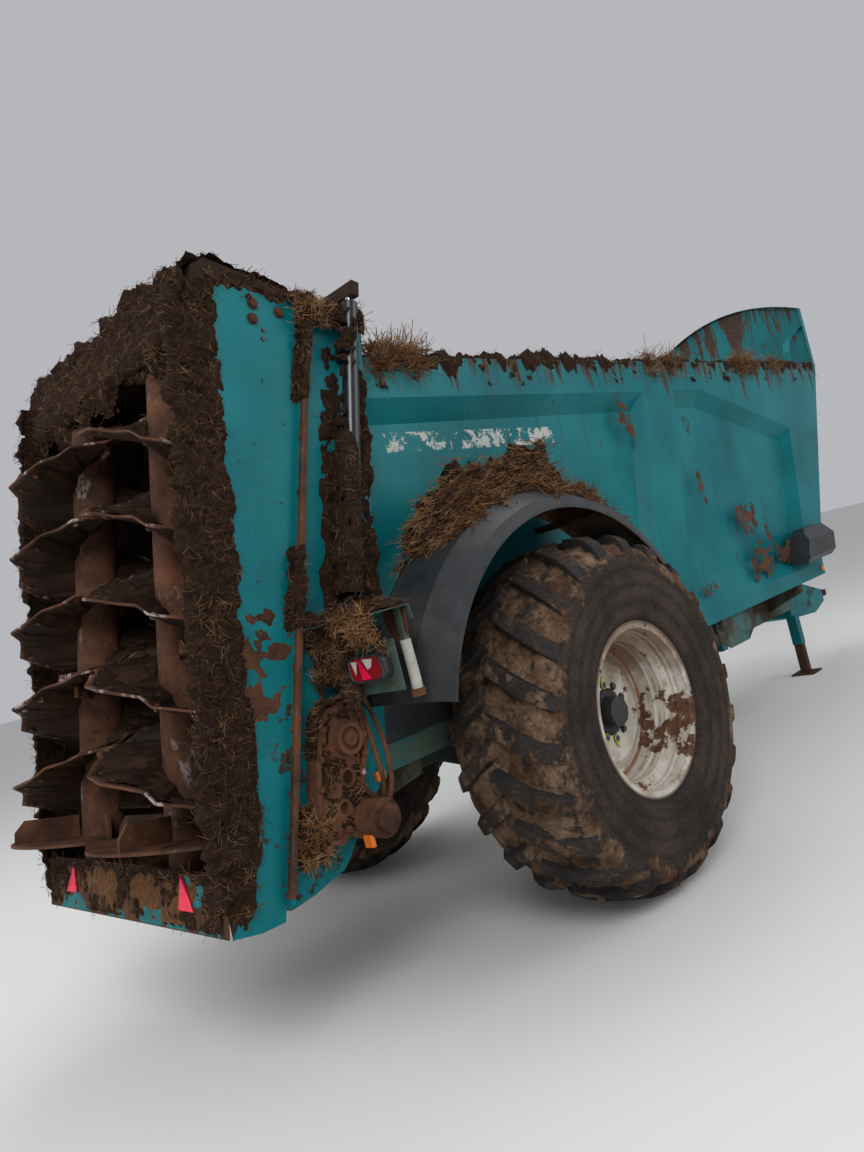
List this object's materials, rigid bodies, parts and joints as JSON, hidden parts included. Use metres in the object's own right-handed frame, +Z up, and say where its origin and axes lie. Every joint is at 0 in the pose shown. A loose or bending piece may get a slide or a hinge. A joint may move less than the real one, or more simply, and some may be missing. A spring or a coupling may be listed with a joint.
{
  "type": "manure spreader",
  "caption": "Single-axle manure spreader with a narrow hopper body, scraper floor, lifting rear door and two upright beaters, standing on its jack.",
  "frame": {"origin": "bottom centre of the machine's box, on the ground", "axes": "+X the machine's right, +Y forward along its length, +Z up"},
  "size_m": [2.913, 8.4505, 3.72],
  "materials": {
    "teal_paint": "weathered teal paint with rust and dirt",
    "rusty_steel": "rusty bare steel",
    "dark_steel": "dull dark steel",
    "tyre_rubber": "dusty tyre rubber",
    "rim_paint": "cream paint with rust",
    "black_plastic": "dusty moulded plastic",
    "black_paint": "glossy black paint",
    "red_lens": "clear red lens",
    "orange_lens": "clear orange lens",
    "rod_chrome": "polished hard chrome"
  },
  "bodies": {
    "root": {"chassis_rails": "teal_paint", "cross_members": "teal_paint", "drawbar": "teal_paint", "drawbar_eye": "dark_steel", "jack_tube": "teal_paint", "axle_beam": "dark_steel", "floor": "rusty_steel", "floor_conveyor": "dark_steel", "side_right": "teal_paint", "side_left": "teal_paint", "front_wall": "teal_paint", "headboard": "teal_paint", "end_post_right": "teal_paint", "end_post_left": "teal_paint", "frame_side_right": "teal_paint", "frame_side_left": "teal_paint", "frame_top_beam": "teal_paint", "frame_foot_beam": "rusty_steel", "rear_apron": "teal_paint", "mudguard_right": "black_plastic", "mudguard_left": "black_plastic", "lamp_board_right": "teal_paint", "lamp_board_left": "teal_paint", "rear_lamps": "red_lens", "marker_lamps": "orange_lens", "conveyor_gearbox": "rusty_steel", "hydraulic_motor": "dark_steel", "driveline": "dark_steel", "tool_box": "black_plastic", "cylinder_barrels": "black_paint"},
    "wheel_right": {"tyre_right": "tyre_rubber", "rim_right": "rim_paint", "hub_right": "dark_steel"},
    "wheel_left": {"tyre_left": "tyre_rubber", "rim_left": "rim_paint", "hub_left": "dark_steel"},
    "beater_right": {"beater_tube_right": "rusty_steel", "beater_flight_right": "rusty_steel", "beater_disc_right": "rusty_steel"},
    "beater_left": {"beater_tube_left": "rusty_steel", "beater_flight_left": "rusty_steel", "beater_disc_left": "rusty_steel"},
    "door": {"door_panel": "teal_paint", "door_rods": "rod_chrome"},
    "jack": {"jack_leg": "dark_steel"}
  },
  "joints": [
    {"name": "wheel_right_roll", "type": "hinge", "parent": "root", "child": "wheel_right", "pos_m": [1.134, -1.87974, 0.905], "axis": [1, 0, 0], "continuous": true},
    {"name": "wheel_left_roll", "type": "hinge", "parent": "root", "child": "wheel_left", "pos_m": [-1.134, -1.87974, 0.905], "axis": [1, 0, 0], "continuous": true},
    {"name": "beater_right_spin", "type": "hinge", "parent": "root", "child": "beater_right", "pos_m": [0.41, -3.83474, 0.985], "axis": [0, 0.2164, 0.9763], "continuous": true},
    {"name": "beater_left_spin", "type": "hinge", "parent": "root", "child": "beater_left", "pos_m": [-0.41, -3.83474, 0.985], "axis": [0, 0.2164, 0.9763], "continuous": true},
    {"name": "door_lift", "type": "slide", "parent": "root", "child": "door", "axis": [0, 0.2924, 0.9563], "range_m": [0, 1.1]},
    {"name": "jack_lift", "type": "slide", "parent": "root", "child": "jack", "axis": [0, 0, 1], "range_m": [0, 0.25]}
  ],
  "couplings": [
    {"joint": "beater_left_spin", "follows": "beater_right_spin", "ratio": -1}
  ]
}
